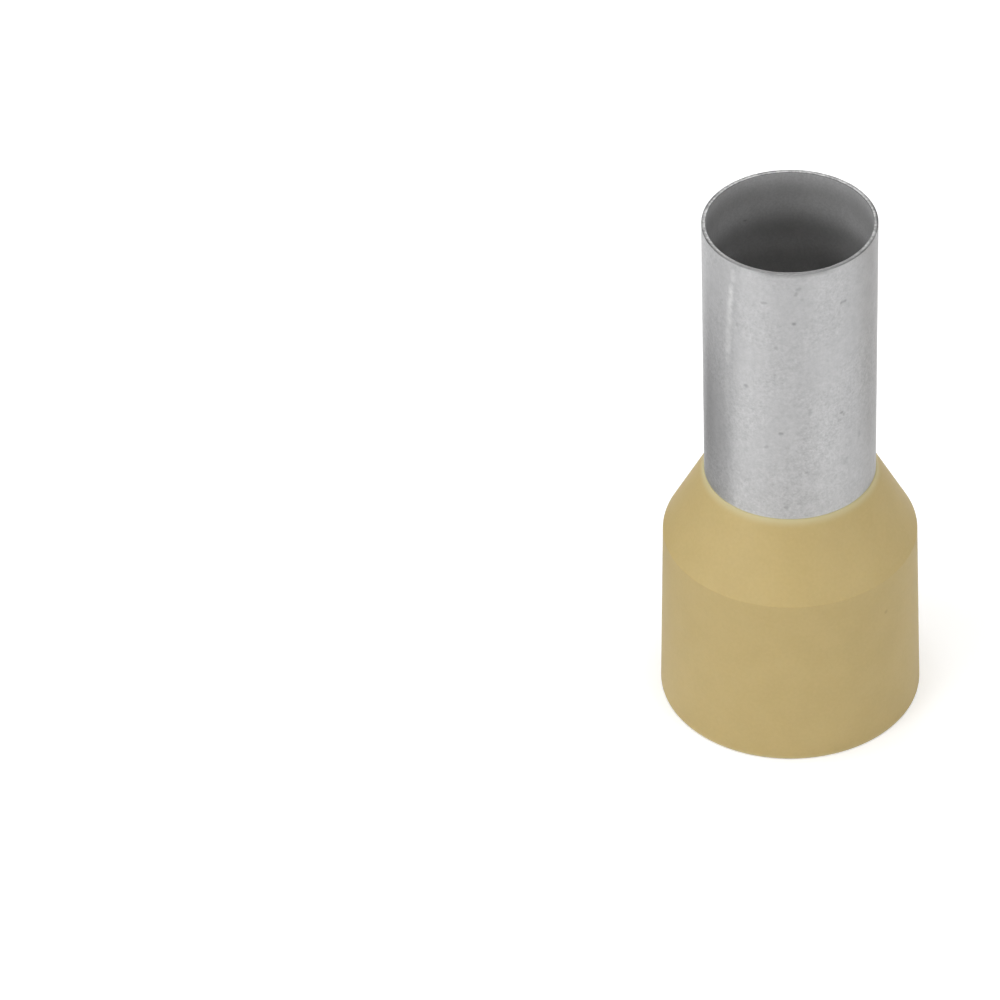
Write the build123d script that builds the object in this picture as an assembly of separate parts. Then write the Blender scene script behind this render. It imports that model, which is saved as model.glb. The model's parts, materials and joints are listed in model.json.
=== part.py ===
from build123d import *
from math import atan2, cos, degrees, sin, tan
import os

# Driving sizes, in millimetres. The ferrule stands on the collar's mouth at z = 0, tube upwards on Z.
sleeve_diameter = 8.7  # outside of the tinned copper tube
sleeve_wall = 0.22  # the tube's wall, with its tin
exposed_length = 15.3  # bare tube, from the collar's nose to the tip
rim_break = 0.05  # both edges of the cut tip
bell_radius = 6.0  # curve on which the tube opens out inside the collar
bell_skirt = 0.75  # straight stretch of the tube below that curve, measured along its slope
insulation_room = 1.85  # step in radius from the tube's outside to the bore for the cable's insulation
body_length = 10.0  # collar from its mouth up to its shoulder
taper_length = 4.0  # collar from its shoulder up to its nose
mouth_wall = 0.54  # collar outside its bore, at the mouth
shoulder_wall = 0.3  # collar outside its bore, at the shoulder
nose_wall = 0.07  # thin lip of the collar round the tube
lead_in_depth = 1.5  # how far up the mouth's inside taper reaches
lead_in_width = 0.15  # how much that taper widens the bore's radius at the mouth
mouth_round = 0.12  # outer edge that the collar stands on
shoulder_round = 0.3  # where the body turns into the taper
nose_break = 0.04  # outer edge of the lip
funnel_round = 0.4  # where the collar's bore turns into its inner funnel

# Radii and heights that follow from them.
sleeve_radius = sleeve_diameter / 2
conductor_radius = sleeve_radius - sleeve_wall
bore_radius = sleeve_radius + insulation_room
mouth_radius = bore_radius + mouth_wall
shoulder_radius = bore_radius + shoulder_wall
nose_radius = sleeve_radius + nose_wall
nose_height = body_length + taper_length
tip_height = nose_height + exposed_length

# The tube's flare and the collar's funnel run parallel to the collar's outer taper.
taper_angle = atan2(shoulder_radius - nose_radius, taper_length)
bell_centre = (sleeve_radius + bell_radius, nose_height)


def bell_curve(radius):
    """Arc of the bell from the height of the collar's nose down to the taper's slope."""
    return CenterArc(bell_centre, radius, 180, degrees(taper_angle))


def bell_end(radius):
    """Lower end of that arc, as radius from the axis and height."""
    across, height = bell_centre
    return across - radius * cos(taper_angle), height - radius * sin(taper_angle)


def down_slope(point, distance):
    """The point that lies a distance down and outwards along the taper's slope."""
    across, height = point
    return across + distance * sin(taper_angle), height - distance * cos(taper_angle)


def turned(outline):
    """Solid made by turning a closed outline of radius and height once round Z."""
    return revolve(Plane.XZ * make_face(outline), Axis.Z)


def insulating_collar():
    """Moulded collar: drafted body, taper, lip round the tube, funnel, bore and lead-in."""
    outside = FilletPolyline(
        (bore_radius + lead_in_width, 0),
        (mouth_radius, 0),
        (shoulder_radius, body_length),
        (nose_radius + nose_break * tan(taper_angle), nose_height - nose_break),
        (nose_radius - nose_break, nose_height),
        (sleeve_radius, nose_height),
        radius=[mouth_round, shoulder_round, 0, 0],
    )
    funnel_top = bell_end(bell_radius)
    funnel_slope = (bore_radius - funnel_top[0]) / sin(taper_angle)
    inside = FilletPolyline(
        funnel_top,
        down_slope(funnel_top, funnel_slope),
        (bore_radius, lead_in_depth),
        (bore_radius + lead_in_width, 0),
        radius=[funnel_round, 0],
    )
    return turned([*outside.edges(), *bell_curve(bell_radius).edges(), *inside.edges()])


def metal_sleeve():
    """Seamless tube: straight barrel with a cut tip, and a bell seated on the collar's funnel."""
    barrel = Polyline(
        (sleeve_radius, nose_height),
        (sleeve_radius, tip_height - rim_break),
        (sleeve_radius - rim_break, tip_height),
        (conductor_radius + rim_break, tip_height),
        (conductor_radius, tip_height - rim_break),
        (conductor_radius, nose_height),
    )
    inner_bell_radius = bell_radius + sleeve_wall
    outer_start = bell_end(bell_radius)
    inner_start = bell_end(inner_bell_radius)
    skirt = Polyline(
        outer_start,
        down_slope(outer_start, bell_skirt),
        down_slope(inner_start, bell_skirt),
        inner_start,
    )
    bells = [*bell_curve(bell_radius).edges(), *bell_curve(inner_bell_radius).edges()]
    return turned([*barrel.edges(), *bells, *skirt.edges()])


os.makedirs("parts", exist_ok=True)
export_step(insulating_collar(), "parts/insulating_collar.step")
export_step(metal_sleeve(), "parts/metal_sleeve.step")
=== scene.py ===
# Wire ferrule: a tube of thin tinned copper in a moulded beige collar, standing on the collar's mouth.
# Lengths are metres, and a value written as a number times mm is in millimetres.
import json

import bpy
import numpy as np
from mathutils import Matrix, Vector


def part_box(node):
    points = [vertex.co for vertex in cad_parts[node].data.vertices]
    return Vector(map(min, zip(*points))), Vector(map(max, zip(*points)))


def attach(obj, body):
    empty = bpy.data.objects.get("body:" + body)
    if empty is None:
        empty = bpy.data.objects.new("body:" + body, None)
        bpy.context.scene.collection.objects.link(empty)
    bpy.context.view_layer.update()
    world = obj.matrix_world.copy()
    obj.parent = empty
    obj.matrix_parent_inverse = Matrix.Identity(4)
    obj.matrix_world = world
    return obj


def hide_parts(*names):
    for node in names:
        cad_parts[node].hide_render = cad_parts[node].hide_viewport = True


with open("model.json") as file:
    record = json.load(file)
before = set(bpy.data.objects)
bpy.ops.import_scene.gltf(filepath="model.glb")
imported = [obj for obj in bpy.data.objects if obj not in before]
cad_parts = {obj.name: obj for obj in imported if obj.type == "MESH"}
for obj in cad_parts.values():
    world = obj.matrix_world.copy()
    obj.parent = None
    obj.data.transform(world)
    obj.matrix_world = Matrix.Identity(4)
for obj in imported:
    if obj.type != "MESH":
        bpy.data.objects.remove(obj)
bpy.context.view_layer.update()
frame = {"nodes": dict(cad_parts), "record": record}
print("frame loaded:", sorted(frame["nodes"]))

mm = 0.001
mmInMetre = 1000  # a bump node is given its heights in millimetres here
mounts = {m["name"]: m["dims"] for m in frame["record"]["mounts"]}
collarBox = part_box("insulating_collar")
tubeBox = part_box("metal_sleeve")


# Outlines and turned surfaces

fineness = {
    "arcPieces": 6,  # fewest steps on a rounded corner
    "sidePieces": 4,  # fewest steps between two corners
    "leastGap": 0.0001 * mm,  # closer points count as one
}


def roundedOutline(corners, step):
    # Closed outline of radius and height. Each corner is (radius, height, round): it is cut back on both
    # sides by round / tan(half the corner's angle), and an arc of that round joins the two cuts. Between
    # corners the points crowd towards both ends, at (1 - cos(pi * i / n)) / 2 of the way.
    points = np.array([c[:2] for c in corners])
    rounds = np.array([c[2] for c in corners])
    before = np.roll(points, 1, axis=0) - points
    after = np.roll(points, -1, axis=0) - points
    before /= np.linalg.norm(before, axis=1)[:, None]
    after /= np.linalg.norm(after, axis=1)[:, None]
    half = np.arccos(np.clip((before * after).sum(axis=1), -1, 1)) / 2
    cut = rounds / np.tan(half)
    starts = points + before * cut[:, None]
    ends = points + after * cut[:, None]
    runs = []
    for i, (start, end) in enumerate(zip(starts, ends)):
        if rounds[i] > 0:
            inwards = before[i] + after[i]
            centre = points[i] + inwards / np.linalg.norm(inwards) * rounds[i] / np.sin(half[i])
            turn = np.pi - 2 * half[i]
            pieces = max(fineness["arcPieces"], int(np.ceil(turn * rounds[i] / step)))
            t = np.linspace(0, 1, pieces + 1)[:, None]
            arc = np.sin((1 - t) * turn) * (start - centre) + np.sin(t * turn) * (end - centre)
            runs.append(centre + arc / np.sin(turn))
        else:
            runs.append(points[i][None])
        nextStart = starts[(i + 1) % len(starts)]
        pieces = max(fineness["sidePieces"], int(np.ceil(np.linalg.norm(nextStart - end) / step)))
        t = (1 - np.cos(np.pi * np.arange(1, pieces) / pieces))[:, None] / 2
        runs.append(end + (nextStart - end) * t)
    outline = np.vstack(runs)
    gap = np.linalg.norm(outline - np.roll(outline, 1, axis=0), axis=1)
    return outline[gap > fineness["leastGap"]]  # where an arc starts at a corner, its points fall together


def ripple(turn, height, seed, waves, most, rise):
    # Sum of sine waves divided by their number. Each has a seeded phase, a seeded count below most round
    # the axis, and a seeded slant of up to rise radians along each millimetre of it.
    rng = np.random.default_rng(seed)
    total = np.zeros(np.broadcast(turn, height).shape)
    for _ in range(waves):
        across, along = rng.integers(1, most), rng.uniform(-rise, rise)
        phase = rng.uniform(0, 2 * np.pi)
        total += np.sin(across * turn + along * height / mm + phase)
    return total / waves


def smooth(value, low, high):
    # Eased step: 0 below low, 1 above high, and 3t^2 - 2t^3 between them.
    t = np.clip((value - low) / (high - low), 0, 1)
    return t * t * (3 - 2 * t)


def turnedSurface(name, outline, around, shape, finish=None):
    # The outline carried once round Z: a point at radius r, height z and angle a lies at
    # (r cos a, r sin a, z), after shape has moved r and z a little as a function of all three. Where the
    # faces have more than one finish, that function gives a material's number from radius and height.
    turn = np.linspace(0, 2 * np.pi, around, endpoint=False)[None, :]
    radius = np.repeat(outline[:, :1], around, axis=1)
    height = np.repeat(outline[:, 1:], around, axis=1)
    radius, height = shape(radius, height, turn)
    points = np.stack([radius * np.cos(turn), radius * np.sin(turn), height], axis=-1)
    row, column = np.arange(len(outline))[:, None], np.arange(around)[None, :]
    nextRow, nextColumn = (row + 1) % len(outline), (column + 1) % around
    corners = [(row, column), (row, nextColumn), (nextRow, nextColumn), (nextRow, column)]
    quads = np.stack([r * around + c for r, c in corners], axis=-1).reshape(-1, 4)
    ahead = np.roll(outline, -1, axis=0)
    if np.sum(outline[:, 0] * ahead[:, 1] - ahead[:, 0] * outline[:, 1]) < 0:
        quads = quads[:, ::-1]  # a clockwise outline has its faces turned to point outwards
    mesh = bpy.data.meshes.new(name)
    mesh.from_pydata(points.reshape(-1, 3).tolist(), [], quads.tolist())
    mesh.polygons.foreach_set("use_smooth", np.ones(len(quads), dtype=bool))
    if finish:
        middle = (outline + ahead) / 2
        numbers = np.repeat(finish(middle[:, 0], middle[:, 1]), around)
        mesh.polygons.foreach_set("material_index", numbers.astype(np.int32))
    mesh.update()
    piece = bpy.data.objects.new(name, mesh)
    bpy.context.scene.collection.objects.link(piece)
    print(name, "has", len(quads) * 2, "triangles")
    return piece


# Sizes that both pieces share: the collar's taper, and the bell on which the tube opens inside it

seat = {
    "tubeRadius": mounts["barrel"]["r_mm"] * mm,
    "noseHeight": collarBox[1][2],
    "noseRadius": 4.42 * mm,
    "shoulderHeight": 10.0 * mm,
    "shoulderRadius": 6.5 * mm,
    "bellRadius": 6.0 * mm,
}
seat["rise"] = seat["noseHeight"] - seat["shoulderHeight"]
seat["taper"] = np.arctan2(seat["shoulderRadius"] - seat["noseRadius"], seat["rise"])


def bellCorner(start, radius):
    # Where a straight side and the bell's slope would meet, did no arc of that radius join them.
    return start, seat["noseHeight"] - radius * np.tan(seat["taper"] / 2), radius


def downSlope(corner, distance):
    # The point a distance down and outwards along the taper's slope, from where a bell's arc ends.
    reach = corner[2] * np.tan(seat["taper"] / 2) + distance
    return corner[0] + reach * np.sin(seat["taper"]), corner[1] - reach * np.cos(seat["taper"])


# Tinned copper tube

tube = {
    "boreRadius": mounts["conductor_bore"]["r_mm"] * mm,
    "tipHeight": tubeBox[1][2],
    "bellSkirt": 0.75 * mm,  # straight stretch below the bell's arc
    "outerRimRound": 0.035 * mm,
    "innerRimRound": 0.03 * mm,
    "footRound": 0.05 * mm,
    "burr": 0.014 * mm,  # how deep the cut's unevenness goes
    "cutReach": (0.09 * mm, 0.01 * mm),  # depths below the tip where it starts and where it is full
    "cutShares": (0.6, 0.9),  # of its coarse and its fine ripples
    "wander": 0.006 * mm,  # how far the drawn wall strays inwards
    "wanderReach": (0.3 * mm, 1.5 * mm),  # heights above the lip where that starts and where it is full
    # seed, number of waves, what their count round the axis stays below, most radians per millimetre
    "ripples": {"coarseCut": (3, 7, 24, 0), "fineCut": (5, 12, 90, 9), "wall": (11, 6, 5, 0.9)},
    "hidden": 0.2 * mm,  # the dull finish starts this far below the lip, inside the collar
    "step": 0.2 * mm,
    "around": 400,
}


def makeTube():
    # Outline: up the outside from the bell's skirt, over the cut rim, down the bore and out to the skirt.
    outer = bellCorner(seat["tubeRadius"], seat["bellRadius"])
    inner = bellCorner(tube["boreRadius"], seat["bellRadius"] + seat["tubeRadius"] - tube["boreRadius"])
    corners = [
        (*downSlope(outer, tube["bellSkirt"]), tube["footRound"]),
        outer,
        (seat["tubeRadius"], tube["tipHeight"], tube["outerRimRound"]),
        (tube["boreRadius"], tube["tipHeight"], tube["innerRimRound"]),
        inner,
        (*downSlope(inner, tube["bellSkirt"]), tube["footRound"]),
    ]

    def shape(radius, height, turn):
        # The rim drops by up to one burr in coarse and fine ripples, and the bare wall strays inwards.
        start, full = tube["cutReach"]
        onRim = smooth(height, tube["tipHeight"] - start, tube["tipHeight"] - full)
        coarse = ripple(turn, 0 * height, *tube["ripples"]["coarseCut"])
        fine = ripple(turn, radius, *tube["ripples"]["fineCut"])
        uneven = 0.5 + tube["cutShares"][0] * coarse + tube["cutShares"][1] * fine
        drop = onRim * tube["burr"] * np.clip(uneven, 0, 1)
        start, full = tube["wanderReach"]
        bare = smooth(height, seat["noseHeight"] + start, seat["noseHeight"] + full)
        stray = 0.5 + 0.5 * ripple(turn, height, *tube["ripples"]["wall"])
        return radius - bare * tube["wander"] * stray, height - drop

    def finish(radius, height):
        # 0 outside, 1 in the bore and inside the collar, 2 on the cut rim.
        inBore = radius < (seat["tubeRadius"] + tube["boreRadius"]) / 2
        inCollar = height < seat["noseHeight"] - tube["hidden"]
        return np.where(height > tube["tipHeight"] - tube["outerRimRound"], 2, inBore | inCollar)

    outline = roundedOutline(corners, tube["step"])
    return turnedSurface("tinned_tube", outline, tube["around"], shape, finish)


# Moulded collar

collar = {
    "boreRadius": mounts["insulation_bore"]["r_mm"] * mm,
    "mouthRadius": collarBox[1][1],
    "leadInDepth": 1.5 * mm,
    "leadInWidth": 0.15 * mm,
    "mouthRound": 0.12 * mm,
    "innerMouthRound": 0.05 * mm,
    "shoulderRound": 0.14 * mm,
    "noseSlope": 0.05 * mm,  # the lip slopes this far down from its edge on the tube
    "noseEdge": 0.01 * mm,
    "noseRound": 0.03 * mm,
    "funnelRound": 0.4 * mm,
    "sink": 0.006 * mm,  # how far the moulded wall strays inwards
    "sinkFoot": (0.5 * mm, 2 * mm),  # heights where that starts and where it is full
    "sinkTop": (12.5 * mm, 13.8 * mm),  # and where it starts to end and has ended
    "sinkDepth": 0.1 * mm,  # it is full from this far outside the tube
    "ripple": (21, 6, 5, 0.7),  # as the tube's ripples
    "step": 0.25 * mm,
    "around": 400,
}


def makeCollar():
    # Outline: out along the mouth, up the body and the taper, over the lip, down the bell's curve, the
    # funnel and the bore. The funnel's foot is where its slope reaches the bore's radius.
    bell = bellCorner(seat["tubeRadius"], seat["bellRadius"])
    funnel = (collar["boreRadius"] - bell[0]) / np.sin(seat["taper"])
    funnelFoot = bell[1] - funnel * np.cos(seat["taper"])
    corners = [
        (collar["boreRadius"] + collar["leadInWidth"], 0, collar["innerMouthRound"]),
        (collar["mouthRadius"], 0, collar["mouthRound"]),
        (seat["shoulderRadius"], seat["shoulderHeight"], collar["shoulderRound"]),
        (seat["noseRadius"], seat["noseHeight"] - collar["noseSlope"], collar["noseRound"]),
        (seat["tubeRadius"] + collar["noseEdge"], seat["noseHeight"], 0),
        (seat["tubeRadius"], seat["noseHeight"], 0),
        bell,
        (collar["boreRadius"], funnelFoot, collar["funnelRound"]),
        (collar["boreRadius"], collar["leadInDepth"], 0),
    ]

    def shape(radius, height, turn):
        # The outer wall strays inwards between its foot and its nose, by a slow ripple.
        wall = smooth(height, *collar["sinkFoot"]) * (1 - smooth(height, *collar["sinkTop"]))
        outside = smooth(radius, seat["tubeRadius"], seat["tubeRadius"] + collar["sinkDepth"])
        stray = 0.5 + 0.5 * ripple(turn, height, *collar["ripple"])
        return radius - wall * outside * collar["sink"] * stray, height

    outline = roundedOutline(corners, collar["step"])
    return turnedSurface("moulded_collar", outline, collar["around"], shape)


tinnedTube = makeTube()
mouldedCollar = makeCollar()
print("shapes ready")


# Shader building

noiseDetail = 3.0  # octaves of the noises in the finishes
markCore = 0.1  # a mark is full within this share of its width, and eases to nothing at the whole


def addNode(tree, kind, inputs=None, **settings):
    # One node, with its settings and the values of its unlinked sockets.
    node = tree.nodes.new(kind)
    for key, value in settings.items():
        setattr(node, key, value)
    for key, value in (inputs or {}).items():
        if isinstance(value, bpy.types.NodeSocket):
            tree.links.new(value, node.inputs[key])
        else:
            node.inputs[key].default_value = value
    return node


def newGroup(name, inputs, outputs):
    # Empty shader group with float or vector sockets: inputs is {name: default}, outputs a list of names.
    group = bpy.data.node_groups.new(name, "ShaderNodeTree")
    for key, value in inputs.items():
        kind = "NodeSocketVector" if isinstance(value, tuple) else "NodeSocketFloat"
        socket = group.interface.new_socket(key, in_out="INPUT", socket_type=kind)
        socket.default_value = value
    for key in outputs:
        group.interface.new_socket(key, in_out="OUTPUT", socket_type="NodeSocketFloat")
    return group, group.nodes.new("NodeGroupInput"), group.nodes.new("NodeGroupOutput")


def mathNode(tree, operation, first, second=0.0):
    # One sum, product or comparison of two values.
    return addNode(tree, "ShaderNodeMath", {0: first, 1: second}, operation=operation).outputs[0]


def rangeNode(tree, value, low, high, newLow, newHigh):
    # Eased step from newLow at low to newHigh at high.
    inputs = {"Value": value, "From Min": low, "From Max": high, "To Min": newLow, "To Max": newHigh}
    node = addNode(tree, "ShaderNodeMapRange", inputs, interpolation_type="SMOOTHSTEP")
    return node.outputs["Result"]


def makeMottle():
    # Two noises, coarse and fine, as a tone about 0.5 and a height about 0.
    group, given, result = newGroup(
        "mottle", {"Vector": (0, 0, 0), "Coarse": 1.0, "Fine": 1.0, "Share": 0.5}, ["Tone", "Height"]
    )
    noises = []
    for key in ("Coarse", "Fine"):
        inputs = {"Vector": given.outputs["Vector"], "Detail": noiseDetail}
        noise = addNode(group, "ShaderNodeTexNoise", inputs)
        group.links.new(given.outputs[key], noise.inputs["Scale"])
        noises.append(noise.outputs["Fac"])
    inputs = {"Factor": given.outputs["Share"], "A": noises[0], "B": noises[1]}
    tone = addNode(group, "ShaderNodeMix", inputs).outputs["Result"]
    group.links.new(tone, result.inputs["Tone"])
    group.links.new(mathNode(group, "SUBTRACT", tone, 0.5), result.inputs["Height"])
    return group


def makeMark():
    # One mark: 1 close to a short straight line through its centre, easing to 0 at its width.
    # The nearest point of the line is centre + way * clamp((point - centre) . way, -reach, reach).
    inputs = {"Vector": (0, 0, 0), "Centre": (0, 0, 0), "Way": (0, 0, 1), "Reach": 0.0, "Width": 0.0001}
    group, given, result = newGroup("mark", inputs, ["Mask"])
    ends = {0: given.outputs["Vector"], 1: given.outputs["Centre"]}
    offset = addNode(group, "ShaderNodeVectorMath", ends, operation="SUBTRACT").outputs[0]
    ends = {0: offset, 1: given.outputs["Way"]}
    along = addNode(group, "ShaderNodeVectorMath", ends, operation="DOT_PRODUCT").outputs["Value"]
    least = mathNode(group, "MULTIPLY", given.outputs["Reach"], -1.0)
    limits = {"Value": along, "Min": least, "Max": given.outputs["Reach"]}
    along = addNode(group, "ShaderNodeClamp", limits).outputs[0]
    ends = {0: given.outputs["Way"], "Scale": along}
    nearest = addNode(group, "ShaderNodeVectorMath", ends, operation="SCALE").outputs[0]
    ends = {0: offset, 1: nearest}
    away = addNode(group, "ShaderNodeVectorMath", ends, operation="DISTANCE").outputs["Value"]
    share = mathNode(group, "DIVIDE", away, given.outputs["Width"])
    group.links.new(rangeNode(group, share, markCore, 1.0, 1.0, 0.0), result.inputs["Mask"])
    return group


def makeSpecks():
    # Scattered specks: a cell's centre shows where the cell's own random value is high enough.
    inputs = {"Vector": (0, 0, 0), "Scale": 1000.0, "Size": 0.2, "Few": 0.9}
    group, given, result = newGroup("specks", inputs, ["Mask"])
    inputs = {"Vector": given.outputs["Vector"], "Scale": given.outputs["Scale"]}
    cells = addNode(group, "ShaderNodeTexVoronoi", inputs)
    share = mathNode(group, "DIVIDE", cells.outputs["Distance"], given.outputs["Size"])
    near = rangeNode(group, share, markCore, 1.0, 1.0, 0.0)
    lot = addNode(group, "ShaderNodeSeparateColor", {0: cells.outputs["Color"]}).outputs[0]
    chosen = mathNode(group, "GREATER_THAN", lot, given.outputs["Few"])
    group.links.new(mathNode(group, "MULTIPLY", near, chosen), result.inputs["Mask"])
    return group


mottle, mark, specks = makeMottle(), makeMark(), makeSpecks()


def mixColours(tree, factor, first, second):
    # The first colour at factor 0, the second at 1.
    inputs = {"Factor": factor, "A": first, "B": second}
    return addNode(tree, "ShaderNodeMix", inputs, data_type="RGBA").outputs["Result"]


def newMaterial(name):
    # Empty material, with its shader and the Object coordinates that its patterns use.
    material = bpy.data.materials.new(name)
    material.use_nodes = True
    tree = material.node_tree
    shader = tree.nodes["Principled BSDF"]
    place = addNode(tree, "ShaderNodeTexCoord").outputs["Object"]
    return material, tree, shader, place


def placeGroup(tree, group, **inputs):
    # The outputs of one use of a shader group.
    return addNode(tree, "ShaderNodeGroup", inputs, node_tree=group).outputs


# Tin: satin outside, dull in the bore, cut at the rim

tin = {
    "light": (0.527, 0.527, 0.532, 1),
    "dark": (0.411, 0.411, 0.415, 1),
    "roughness": 0.45,
    "drawn": 0.5,  # the tube was turned as it was finished, so it mirrors more blurred along its axis
    "drawnTurn": 0.25,  # share of a turn that lays that blur along the axis
    "cloudScale": 1300,  # features for each metre
    "cloudFiner": 2.3,  # how much finer the clouds' second noise is
    "pebbleScale": 5400,
    "pebbleFiner": 1.9,
    "streakScale": 1700,
    "streakStretch": 0.04,  # the streaks' scale along the axis
    "cloudShare": 0.66,  # how much each moves the tone
    "pebbleShare": 1.3,
    "streakShare": 0.25,
    "pebbleDepth": 0.012 * mm,
    "pebblePolish": 0.4,  # how much smoother a raised pebble is
    "patchScale": 260.0,  # patches in which the pebbles are stronger
    "patchDetail": 1.0,
    "patchRange": (0.4, 0.6, 0.55, 1.2),  # from noise to strength
    "pebbleFade": (17 * mm, 28 * mm, 1.0, 0.72),  # from height to strength
    "markDepth": 0.014 * mm,
    # dark marks, and also the colour of the painted shade below the rim and in the bore
    "markAndShadeColour": (0.22, 0.22, 0.22, 1),
    "specks": {"Scale": 1500.0, "Size": 0.16, "Few": 0.8},
    "speckStrength": 0.25,
    # painted highlight: colour of the bright streaks down the barrel's left side, and of the painted light
    # above the lip
    "highlight": (0.66, 0.66, 0.658, 1),
    "paintedLightRange": (0.4, 0.6, 0.5, 1.2),  # from the clouds' tone to the strength of the painted highlight streaks
    "edgeFade": 0.3 * mm,  # below the rim, where painted shade darkens the tin
    "edgeShare": 0.6,
    "edgeSide": (-4.3 * mm, -3.6 * mm, 1.0, 0.1),  # from Y to strength: the painted shade is strongest at the front, where it tones down a highlight
    "footFade": 0.13 * mm,  # above the collar's lip, where painted light brightens the tin over the shade at the joint
    "footShare": 0.5,
    # marks on the barrel: degrees round from the front, height, lean in degrees, length, width, strength
    "marks": [
        (-20.5, 27.45, 8, 0.16, 0.14, 0.4),
        (-1.0, 26.3, 0, 0.03, 0.15, 0.65),
        (-12.7, 24.76, 0, 0.04, 0.17, 0.35),
        (-13.4, 23.1, 0, 0.02, 0.12, 0.3),
        (-33.4, 22.04, 0, 0.04, 0.17, 0.5),
        (1.9, 28.4, 20, 0.12, 0.15, 0.35),
        (0.3, 28.1, 70, 0.12, 0.14, 0.35),
        (4.2, 27.75, 0, 0.06, 0.14, 0.25),
        (33.2, 27.0, 8, 0.26, 0.14, 0.5),
        (-9.4, 19.45, 8, 0.08, 0.15, 0.55),
        (-19.3, 18.5, 40, 0.1, 0.15, 0.35),
        (-6.2, 14.75, 0, 0.05, 0.16, 0.45),
        (-39.6, 25.65, 90, 0.1, 0.18, 0.25),
        (32.4, 20.15, 20, 0.06, 0.15, 0.45),
        (30.8, 19.7, 0, 0.12, 0.14, 0.3),
        (34.2, 19.95, 80, 0.05, 0.12, 0.3),
        (48.7, 18.1, 90, 0.2, 0.17, 0.2),
        (9.5, 20.7, 90, 0.3, 0.14, 0.25),
        (36.5, 17.0, 60, 0.2, 0.17, 0.25),
    ],
    # painted highlight: bright streaks down the barrel's left side, listed as the marks are
    "streaks": [
        (-43.2, 28.5, 88, 0.5, 0.24, 0.4),
        (-45.1, 27.35, 87, 0.9, 0.24, 0.85),
        (-46.6, 26.1, 86, 1.5, 0.28, 0.7),
        (-47.8, 24.5, 87, 1.6, 0.3, 0.5),
        (-48.6, 23.15, 88, 0.25, 0.22, 0.6),
        (-49.8, 20.6, 88, 3.2, 0.26, 0.2),
    ],
}

bore = {
    "light": (0.635, 0.635, 0.638, 1),
    "dark": (0.53, 0.53, 0.533, 1),
    "metallic": 0.4,  # its dull skin scatters more than bare metal does
    "roughness": 0.5,
    "fade": (5.5 * mm, 2.2 * mm),  # depths below the rim between which painted shade darkens the bore
    "fadeShare": 0.16,
    "ringStep": 2.3 * mm,  # faint rings of painted shade down the bore
    "ringStart": 2.14,  # radians at the rim
    "ringShare": 0.19,
    "ringReach": (7 * mm, 3 * mm),  # depths between which the rings fade out
    "cloudScale": 1100,
    "grainScale": 8500,
    "grainShare": 0.7,  # the rest of the tone is cloud
    "toneRange": (0.3, 0.7),  # noise that gives the dark and the light colour
    "grainDepth": 0.004 * mm,
    "nicks": [(-151, 26.8, 10, 0.12, 0.09, 0.55), (171.5, 26.1, 0, 0.1, 0.16, 0.2)],
}

rim = {
    "light": (0.76, 0.76, 0.757, 1),
    "dark": (0.38, 0.38, 0.378, 1),
    "edge": (0.08, 0.08, 0.08, 1),  # painted shade along both edges of the rim
    "outerEdge": (0.15 * mm, 0.03 * mm),  # in from the outside, where it starts and where it is full
    "innerEdge": 0.05 * mm,
    "innerShare": 0.8,
    "shadedFront": (0.28, 0.28, 0.279, 1),  # painted shade that makes the land darker and even at the front, toning down its highlight
    "shadedFrontFrom": (-3.9 * mm, -1.2 * mm),  # in Y, from full to none
    "shadedFrontShare": 0.8,
    "edgeBreakScale": 420,  # the painted shade on the outer edge comes and goes
    "edgeBreakDetail": 2.0,
    "edgeBreakRange": (0.4, 0.58, 0.6, 1.0),  # from noise to strength
    "toneRange": (0.35, 0.65),  # noise that gives the dark and the light colour
    "metallic": 0.4,
    "roughness": 0.4,
    "grainScale": 6000,
    "grainCoarser": 4,  # how much coarser the grain's first noise is
    "grainDepth": 0.03 * mm,
}


def radiusNode(tree, place):
    # Distance from the axis, as the length of the point with its height taken out.
    flat = addNode(tree, "ShaderNodeMapping", {"Vector": place, "Scale": (1, 1, 0)}).outputs["Vector"]
    return addNode(tree, "ShaderNodeVectorMath", {0: flat}, operation="LENGTH").outputs["Value"]


def placeMarks(tree, place, radius, marks):
    # The strongest of the listed marks on a wall of that radius, each times its own strength.
    total = 0.0
    for degrees, up, lean, length, width, strength in marks:
        turn, lean = np.radians(degrees), np.radians(lean)
        centre = (radius * np.sin(turn), -radius * np.cos(turn), up * mm)
        way = (np.cos(lean) * np.cos(turn), np.cos(lean) * np.sin(turn), np.sin(lean))
        size = {"Reach": length / 2 * mm, "Width": width * mm}
        one = placeGroup(tree, mark, Vector=place, Centre=centre, Way=way, **size)
        total = mathNode(tree, "MAXIMUM", total, mathNode(tree, "MULTIPLY", one["Mask"], strength))
    return total


def addBump(tree, shader, height):
    # The height is in millimetres.
    bump = addNode(tree, "ShaderNodeBump", {"Height": height, "Strength": 1.0, "Distance": mm})
    tree.links.new(bump.outputs["Normal"], shader.inputs["Normal"])


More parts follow.
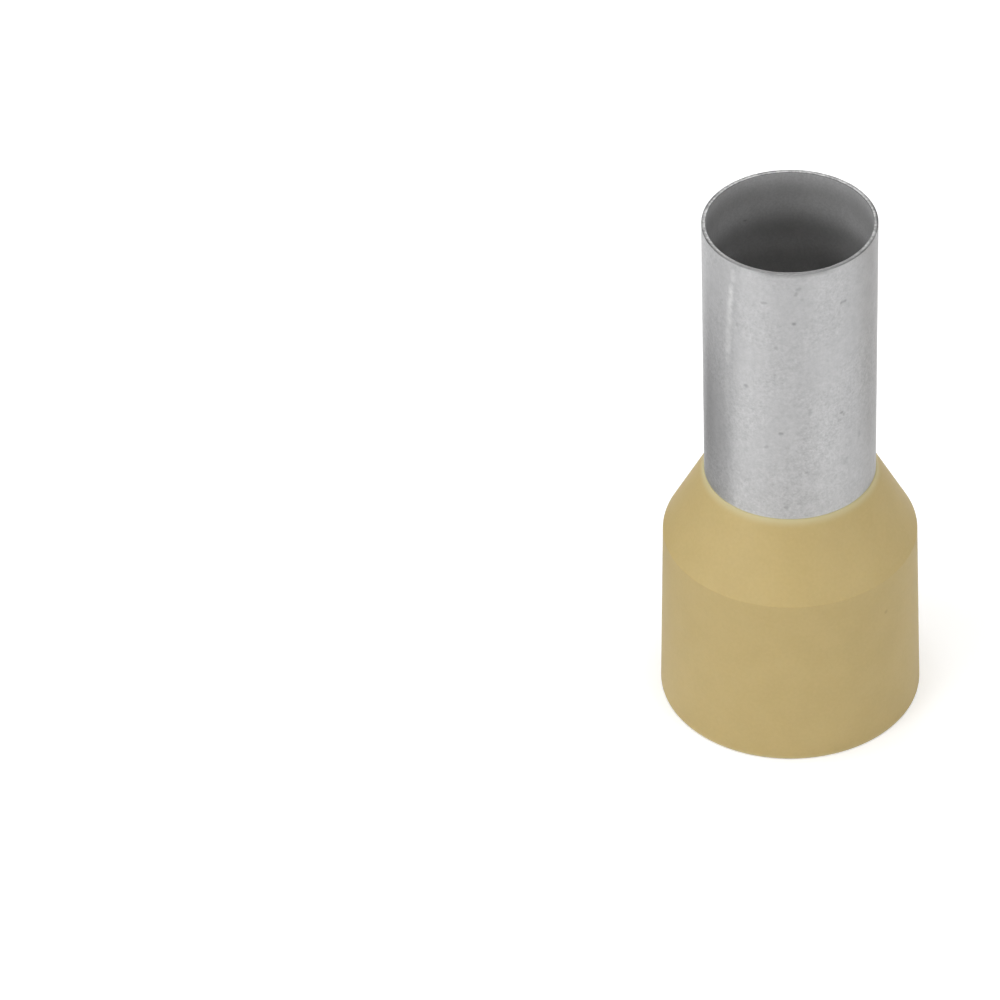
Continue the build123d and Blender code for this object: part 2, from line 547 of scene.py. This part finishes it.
def makeTin():
    # Tone = 0.5 + clouds + pebbles, stronger lower down and in patches, + faint streaks along the tube.
    # Over it lie painted highlight streaks down the left side and painted light above the collar's lip,
    # then the marks and painted shade just below the rim, most at the front.
    material, tree, shader, place = newMaterial("satin_tin")
    axes = addNode(tree, "ShaderNodeSeparateXYZ", {0: place}).outputs
    depth, height = axes["Y"], axes["Z"]
    scales = {"Coarse": tin["cloudScale"], "Fine": tin["cloudScale"] * tin["cloudFiner"]}
    clouds = placeGroup(tree, mottle, Vector=place, **scales)
    scales = {"Coarse": tin["pebbleScale"], "Fine": tin["pebbleScale"] * tin["pebbleFiner"]}
    pebbles = placeGroup(tree, mottle, Vector=place, **scales)
    inputs = {"Vector": place, "Scale": (1, 1, tin["streakStretch"])}
    stretched = addNode(tree, "ShaderNodeMapping", inputs).outputs["Vector"]
    inputs = {"Vector": stretched, "Scale": tin["streakScale"], "Detail": noiseDetail}
    streaks = addNode(tree, "ShaderNodeTexNoise", inputs)
    inputs = {"Vector": place, "Scale": tin["patchScale"], "Detail": tin["patchDetail"]}
    patches = addNode(tree, "ShaderNodeTexNoise", inputs)
    patchy = rangeNode(tree, patches.outputs["Fac"], *tin["patchRange"])
    patchy = mathNode(tree, "MULTIPLY", patchy, rangeNode(tree, height, *tin["pebbleFade"]))
    grain = mathNode(tree, "MULTIPLY", pebbles["Height"], patchy)
    streaky = mathNode(tree, "SUBTRACT", streaks.outputs["Fac"], 0.5)
    parts = ((clouds["Height"], "cloudShare"), (grain, "pebbleShare"), (streaky, "streakShare"))
    tone = 0.5
    for part, share in parts:
        tone = mathNode(tree, "ADD", tone, mathNode(tree, "MULTIPLY", part, tin[share] * 2))
    marks = placeMarks(tree, place, seat["tubeRadius"], tin["marks"])
    scattered = placeGroup(tree, specks, Vector=place, **tin["specks"])["Mask"]
    marks = mathNode(tree, "MAXIMUM", marks, mathNode(tree, "MULTIPLY", scattered, tin["speckStrength"]))
    # painted highlight: bright streaks down the left side, stronger where the clouds are light
    paintedLight = placeMarks(tree, place, seat["tubeRadius"], tin["streaks"])
    paintedLight = mathNode(tree, "MULTIPLY", paintedLight, rangeNode(tree, clouds["Tone"], *tin["paintedLightRange"]))
    # painted light: the tin just above the collar's lip is lightened, over the shade at the joint
    low, high = seat["noseHeight"], seat["noseHeight"] + tin["footFade"]
    footGlow = rangeNode(tree, height, low, high, tin["footShare"], 0.0)
    paintedLight = mathNode(tree, "MAXIMUM", paintedLight, footGlow)
    # painted shade: the tin just below the rim is darkened, most at the front
    low, high = tube["tipHeight"] - tin["edgeFade"], tube["tipHeight"]
    frontShade = rangeNode(tree, height, low, high, 0.0, tin["edgeShare"])
    frontShade = mathNode(tree, "MULTIPLY", frontShade, rangeNode(tree, depth, *tin["edgeSide"]))
    colour = mixColours(tree, tone, tin["dark"], tin["light"])
    colour = mixColours(tree, paintedLight, colour, tin["highlight"])
    colour = mixColours(tree, mathNode(tree, "MAXIMUM", marks, frontShade), colour, tin["markAndShadeColour"])
    tree.links.new(colour, shader.inputs["Base Color"])
    shader.inputs["Metallic"].default_value = 1.0
    shader.inputs["Anisotropic"].default_value = tin["drawn"]
    shader.inputs["Anisotropic Rotation"].default_value = tin["drawnTurn"]
    polished = mathNode(tree, "MULTIPLY", grain, tin["pebblePolish"])
    rough = mathNode(tree, "SUBTRACT", tin["roughness"], polished)
    tree.links.new(rough, shader.inputs["Roughness"])
    raised = mathNode(tree, "MULTIPLY", grain, tin["pebbleDepth"] * mmInMetre)
    dented = mathNode(tree, "MULTIPLY", marks, tin["markDepth"] * mmInMetre)
    addBump(tree, shader, mathNode(tree, "SUBTRACT", raised, dented))
    return material


def makeBore():
    # Fine tone, with painted shade that darkens it deeper down and in faint rings, by
    # 1 - sin(2 pi * depth / ringStep + ringStart).
    material, tree, shader, place = newMaterial("dull_tin")
    scales = {"Coarse": bore["cloudScale"], "Fine": bore["grainScale"], "Share": bore["grainShare"]}
    clouds = placeGroup(tree, mottle, Vector=place, **scales)
    height = addNode(tree, "ShaderNodeSeparateXYZ", {0: place}).outputs["Z"]
    tone = rangeNode(tree, clouds["Tone"], *bore["toneRange"], 0.0, 1.0)
    deep, shallow = (tube["tipHeight"] - depth for depth in bore["fade"])
    # painted shade: the bore is darker deeper down and in faint rings near its top
    paintedShade = rangeNode(tree, height, deep, shallow, bore["fadeShare"], 0.0)
    depth = mathNode(tree, "SUBTRACT", tube["tipHeight"], height)
    turns = mathNode(tree, "MULTIPLY", depth, 2 * np.pi / bore["ringStep"])
    rings = mathNode(tree, "SINE", mathNode(tree, "ADD", turns, bore["ringStart"]))
    deep, shallow = (tube["tipHeight"] - depth for depth in bore["ringReach"])
    rings = mathNode(tree, "MULTIPLY", rings, rangeNode(tree, height, deep, shallow, 0.0, 1.0))
    rings = mathNode(tree, "MULTIPLY", mathNode(tree, "SUBTRACT", 1.0, rings), bore["ringShare"])
    paintedShade = mathNode(tree, "ADD", paintedShade, rings)
    nicks = placeMarks(tree, place, tube["boreRadius"], bore["nicks"])
    colour = mixColours(tree, tone, bore["dark"], bore["light"])
    colour = mixColours(tree, mathNode(tree, "MAXIMUM", nicks, paintedShade), colour, tin["markAndShadeColour"])
    tree.links.new(colour, shader.inputs["Base Color"])
    shader.inputs["Metallic"].default_value = bore["metallic"]
    shader.inputs["Roughness"].default_value = bore["roughness"]
    addBump(tree, shader, mathNode(tree, "MULTIPLY", clouds["Height"], bore["grainDepth"] * mmInMetre))
    return material


def makeRim():
    # The land between the two edges is bright and rough. Painted shade darkens both edges, the outer one
    # only in places, and at the front painted shade makes the land even and darker, toning down its
    # highlight.
    material, tree, shader, place = newMaterial("cut_tin")
    radius = radiusNode(tree, place)
    scales = {"Coarse": rim["grainScale"] / rim["grainCoarser"], "Fine": rim["grainScale"]}
    grain = placeGroup(tree, mottle, Vector=place, **scales)
    # painted shade: dark bands along the outer edge, broken up by noise, and along the inner edge
    start, full = (seat["tubeRadius"] - depth for depth in rim["outerEdge"])
    outer = rangeNode(tree, radius, start, full, 0.0, 1.0)
    full, end = tube["boreRadius"], tube["boreRadius"] + rim["innerEdge"]
    inner = rangeNode(tree, radius, full, end, rim["innerShare"], 0.0)
    inputs = {"Vector": place, "Scale": rim["edgeBreakScale"], "Detail": rim["edgeBreakDetail"]}
    edgeBreak = addNode(tree, "ShaderNodeTexNoise", inputs)
    outer = mathNode(tree, "MULTIPLY", outer, rangeNode(tree, edgeBreak.outputs["Fac"], *rim["edgeBreakRange"]))
    tone = rangeNode(tree, grain["Tone"], *rim["toneRange"], 0.0, 1.0)
    colour = mixColours(tree, tone, rim["dark"], rim["light"])
    colour = mixColours(tree, mathNode(tree, "MAXIMUM", outer, inner), colour, rim["edge"])
    # painted shade: the land is darker and even at the front
    depth = addNode(tree, "ShaderNodeSeparateXYZ", {0: place}).outputs["Y"]
    shadedFront = rangeNode(tree, depth, *rim["shadedFrontFrom"], rim["shadedFrontShare"], 0.0)
    colour = mixColours(tree, shadedFront, colour, rim["shadedFront"])
    tree.links.new(colour, shader.inputs["Base Color"])
    shader.inputs["Metallic"].default_value = rim["metallic"]
    shader.inputs["Roughness"].default_value = rim["roughness"]
    addBump(tree, shader, mathNode(tree, "MULTIPLY", grain["Height"], rim["grainDepth"] * mmInMetre))
    return material


# Beige plastic

plastic = {
    "light": (0.53, 0.407, 0.177, 1),
    "dark": (0.499, 0.381, 0.161, 1),
    "lip": (0.578, 0.5, 0.272, 1),  # painted light: the thin lip round the tube is paler, as light comes through it
    "lipDepth": 0.45 * mm,
    "footReach": (0.05 * mm, 0.3 * mm),  # painted light at the edge of the mouth too, a little paler
    "footShare": 0.6,
    "roughness": 0.55,
    "specular": 0.35,
    "scatter": 0.2,  # share of light that goes a little way into the plastic
    "scatterColours": (1.0, 0.7, 0.35),  # how far each colour goes, as shares of scatterReach
    "scatterReach": 0.4 * mm,
    "cloudScale": 600,
    "grainScale": 6000,
    "toneRange": (0.3, 0.7),  # noise that gives the dark and the light colour
    "grainDepth": 0.003 * mm,
    "specks": [(44.4, 7.95, 0, 0.02, 0.18, 0.35)],
    "speckColour": (0.25, 0.17, 0.06, 1),
}


def makePlastic():
    # Faintly clouded beige, with painted light that makes it paler at the lip round the tube and at the
    # mouth's edge.
    material, tree, shader, place = newMaterial("beige_plastic")
    height = addNode(tree, "ShaderNodeSeparateXYZ", {0: place}).outputs["Z"]
    scales = {"Coarse": plastic["cloudScale"], "Fine": plastic["grainScale"]}
    clouds = placeGroup(tree, mottle, Vector=place, **scales)
    tone = rangeNode(tree, clouds["Tone"], *plastic["toneRange"], 0.0, 1.0)
    colour = mixColours(tree, tone, plastic["dark"], plastic["light"])
    # painted light: paler at the lip round the tube and at the edge of the mouth
    low, high = seat["noseHeight"] - plastic["lipDepth"], seat["noseHeight"]
    lip = rangeNode(tree, height, low, high, 0.0, 1.0)
    foot = rangeNode(tree, height, *plastic["footReach"], plastic["footShare"], 0.0)
    colour = mixColours(tree, mathNode(tree, "MAXIMUM", lip, foot), colour, plastic["lip"])
    marks = placeMarks(tree, place, seat["shoulderRadius"], plastic["specks"])
    colour = mixColours(tree, marks, colour, plastic["speckColour"])
    tree.links.new(colour, shader.inputs["Base Color"])
    shader.inputs["Roughness"].default_value = plastic["roughness"]
    shader.inputs["Specular IOR Level"].default_value = plastic["specular"]
    shader.inputs["Subsurface Weight"].default_value = plastic["scatter"]
    shader.inputs["Subsurface Radius"].default_value = plastic["scatterColours"]
    shader.inputs["Subsurface Scale"].default_value = plastic["scatterReach"]
    raised = mathNode(tree, "MULTIPLY", clouds["Height"], plastic["grainDepth"] * mmInMetre)
    addBump(tree, shader, raised)
    return material


for material in (makeTin(), makeBore(), makeRim()):
    tinnedTube.data.materials.append(material)
mouldedCollar.data.materials.append(makePlastic())
for piece, node, slot in (
    (tinnedTube, "metal_sleeve", "tinned_copper"),
    (mouldedCollar, "insulating_collar", "beige_plastic"),
):
    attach(piece, "root")
    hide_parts(node)
print("materials ready")


# Floor, sky, lamps and two low cards, one dark and one pale, that the tube mirrors at its sides

studio = {
    "floorHalf": 1.5,  # metres
    "floorDrop": 0.002 * mm,  # below the collar's mouth, so that the two never share a plane
    "floorColour": (0.8, 0.8, 0.8, 1),
    "floorLift": 0.32,  # added for what the eye and mirrors see of the floor, which makes it white
    "cameraLift": 0.035,  # more of it for the eye alone
    "skyHeights": (8, 16),  # degrees above the horizon, between which its brightness changes
    "skyBand": 1.0,  # brightness below them
    "skyAbove": 0.15,
    # name: degrees round from the front, degrees up, distance and size in mm, power in watts
    "lamps": {
        "lampLeft": (-50, 20, 280, 120, 0.23),
        "lampRight": (45, 20, 280, 120, 0.16),
        "lampSide": (-95, 35, 280, 120, 0.14),
        "lampBack": (178, 15, 280, 120, 0.11),
        "lampTop": (0, 89, 400, 200, 0.97),
    },
    "flagRadius": 22 * mm,
    "flagSteps": 24,
    "flagRoughness": 0.9,
    # name: degrees round from the front at both ends, heights there in mm, grey, whether it darkens the
    # matt surfaces too
    "flags": {
        "flagLeft": ((-140, -78), (11, 8), 0.1, True),
        "flagRight": ((92, 129), (26, 26), 0.97, False),
    },
}


def makeFloor():
    # Matt square that glows for the eye and for mirrors, but lights nothing itself.
    half = studio["floorHalf"]
    corners = [(-half, -half, 0), (half, -half, 0), (half, half, 0), (-half, half, 0)]
    mesh = bpy.data.meshes.new("floor")
    mesh.from_pydata(corners, [], [(0, 1, 2, 3)])
    floor = bpy.data.objects.new("floor", mesh)
    floor.location.z = -studio["floorDrop"]
    bpy.context.scene.collection.objects.link(floor)
    material = bpy.data.materials.new("pale_floor")
    material.use_nodes = True
    tree = material.node_tree
    tree.nodes.remove(tree.nodes["Principled BSDF"])
    matt = addNode(tree, "ShaderNodeBsdfDiffuse", {"Color": studio["floorColour"]})
    rays = addNode(tree, "ShaderNodeLightPath").outputs
    more = mathNode(tree, "MULTIPLY", rays["Is Camera Ray"], studio["cameraLift"])
    lift = mathNode(tree, "ADD", more, studio["floorLift"])
    glow = addNode(tree, "ShaderNodeEmission", {"Strength": lift})
    shown = addNode(tree, "ShaderNodeAddShader", {0: matt.outputs[0], 1: glow.outputs[0]})
    seen = mathNode(tree, "MAXIMUM", rays["Is Camera Ray"], rays["Is Glossy Ray"])
    seen = mathNode(tree, "MAXIMUM", seen, rays["Is Transmission Ray"])
    mixed = addNode(tree, "ShaderNodeMixShader", {0: seen, 1: matt.outputs[0], 2: shown.outputs[0]})
    tree.links.new(mixed.outputs[0], tree.nodes["Material Output"].inputs["Surface"])
    mesh.materials.append(material)


def makeFlags():
    # Low curved cards: points at flagRadius, from the floor up to the given heights.
    for name, (span, heights, grey, onMatt) in studio["flags"].items():
        turn = np.radians(np.linspace(*span, studio["flagSteps"] + 1))
        ring = np.stack([np.sin(turn), -np.cos(turn)], axis=1) * studio["flagRadius"]
        low = np.column_stack([ring, np.zeros(len(turn))])
        high = np.column_stack([ring, np.linspace(*heights, len(turn)) * mm])
        first = np.arange(len(turn) - 1)
        quads = np.stack([first, first + 1, first + 1 + len(turn), first + len(turn)], axis=1)
        mesh = bpy.data.meshes.new(name)
        mesh.from_pydata(np.vstack([low, high]).tolist(), [], quads.tolist())
        flag = bpy.data.objects.new(name, mesh)
        flag.visible_camera = False
        flag.visible_diffuse = onMatt
        flag.visible_shadow = False
        bpy.context.scene.collection.objects.link(flag)
        material = bpy.data.materials.new(name)
        material.use_nodes = True
        shader = material.node_tree.nodes["Principled BSDF"]
        shader.inputs["Base Color"].default_value = (grey, grey, grey, 1)
        shader.inputs["Roughness"].default_value = studio["flagRoughness"]
        mesh.materials.append(material)


def makeSky():
    # White near the horizon, easing to a dimmer sky above it, by the sine of the height in degrees.
    world = bpy.data.worlds.new("studio")
    bpy.context.scene.world = world
    world.use_nodes = True
    tree = world.node_tree
    way = addNode(tree, "ShaderNodeTexCoord").outputs["Generated"]
    up = addNode(tree, "ShaderNodeSeparateXYZ", {0: way}).outputs["Z"]
    low, high = np.sin(np.radians(studio["skyHeights"]))
    level = rangeNode(tree, up, low, high, studio["skyBand"], studio["skyAbove"])
    tree.links.new(level, tree.nodes["Background"].inputs["Strength"])
    tree.nodes["Background"].inputs["Color"].default_value = (1, 1, 1, 1)


def makeLamps():
    # Square lamps that face the middle of the part.
    middle = Vector((0, 0, tube["tipHeight"] / 2))
    for name, (around, up, distance, size, power) in studio["lamps"].items():
        around, up = np.radians(around), np.radians(up)
        way = Vector((np.sin(around) * np.cos(up), -np.cos(around) * np.cos(up), np.sin(up)))
        lamp = bpy.data.lights.new(name, "AREA")
        lamp.shape = "SQUARE"
        lamp.size = size * mm
        lamp.energy = power
        holder = bpy.data.objects.new(name, lamp)
        holder.location = middle + way * distance * mm
        holder.rotation_euler = way.to_track_quat("Z", "Y").to_euler()
        holder.visible_camera = False
        bpy.context.scene.collection.objects.link(holder)


makeFloor()
makeFlags()
makeSky()
makeLamps()
print("studio ready")


# Camera, fitted to the photo's 1000 x 1000 frame

view = {
    "lens": 211.864,  # mm, as is the sensor's width
    "sensor": 36,
    "clipStart": 0.01,  # metres
    "distance": 297.65 * mm,
    "pitch": 39.081,  # degrees down
    "roll": -2.332,
    "aimHeight": 15 * mm,
    "aimPixel": (789.913, 449.289),
    "frameSize": 1000,
}


def makeCamera():
    # The point on the axis at aimHeight lies at the given distance along the view, and shows at aimPixel.
    pitch, roll = np.radians(view["pitch"]), np.radians(view["roll"])
    forwards = np.array([0, np.cos(pitch), -np.sin(pitch)])
    level, upwards = np.array([1.0, 0, 0]), np.array([0, np.sin(pitch), np.cos(pitch)])
    right = np.cos(roll) * level + np.sin(roll) * upwards
    up = np.cos(roll) * upwards - np.sin(roll) * level
    perPixel = view["sensor"] / view["lens"] / view["frameSize"] * view["distance"]
    across = (view["aimPixel"][0] - view["frameSize"] / 2) * perPixel
    above = (view["frameSize"] / 2 - view["aimPixel"][1]) * perPixel
    aim = np.array([0, 0, view["aimHeight"]])
    place = aim - forwards * view["distance"] - right * across - up * above
    data = bpy.data.cameras.new("camera")
    data.lens = view["lens"]
    data.sensor_width = view["sensor"]
    data.clip_start = view["clipStart"]
    camera = bpy.data.objects.new("camera", data)
    rows = [[right[i], up[i], -forwards[i], place[i]] for i in range(3)]
    camera.matrix_world = Matrix([*rows, [0, 0, 0, 1]])
    bpy.context.scene.collection.objects.link(camera)
    bpy.context.scene.camera = camera


makeCamera()
bpy.context.scene.view_settings.view_transform = "Standard"
print("camera ready")
